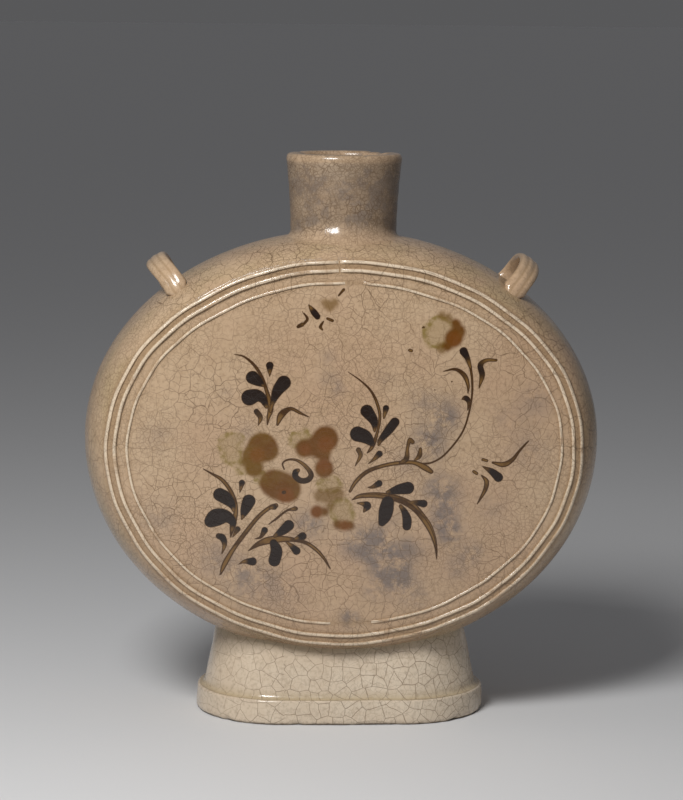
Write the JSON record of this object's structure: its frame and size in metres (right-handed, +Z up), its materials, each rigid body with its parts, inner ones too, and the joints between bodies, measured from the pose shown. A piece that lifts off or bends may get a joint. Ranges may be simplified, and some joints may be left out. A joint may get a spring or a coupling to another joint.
{
  "type": "pilgrim flask",
  "caption": "Flattened oval ceramic flask with a short neck, reeded cord lugs on the shoulders, raised borders round both faces and a flared oval foot.",
  "frame": {"origin": "on the table, under the middle of the foot", "axes": "+Z up, the decorated front face looks along -Y, +X to the right of the front face"},
  "size_m": [0.229, 0.08, 0.25],
  "materials": {
    "body_glaze": "glossy crackle glaze",
    "neck_glaze": "glossy crackle glaze",
    "foot_glaze": "glossy crackle glaze",
    "border_glaze": "glossy crackle glaze",
    "joining_clay": "matt fired clay"
  },
  "bodies": {
    "root": {"front_shell": "body_glaze", "rear_shell": "body_glaze", "seam_slip": "joining_clay", "neck": "neck_glaze", "foot_collar": "foot_glaze", "foot_plinth": "foot_glaze", "left_lug": "neck_glaze", "right_lug": "neck_glaze", "front_border_strip": "border_glaze", "rear_border_strip": "border_glaze", "front_inner_thread_left": "border_glaze", "front_inner_thread_right": "border_glaze", "rear_inner_thread_left": "border_glaze", "rear_inner_thread_right": "border_glaze"}
  },
  "joints": []
}
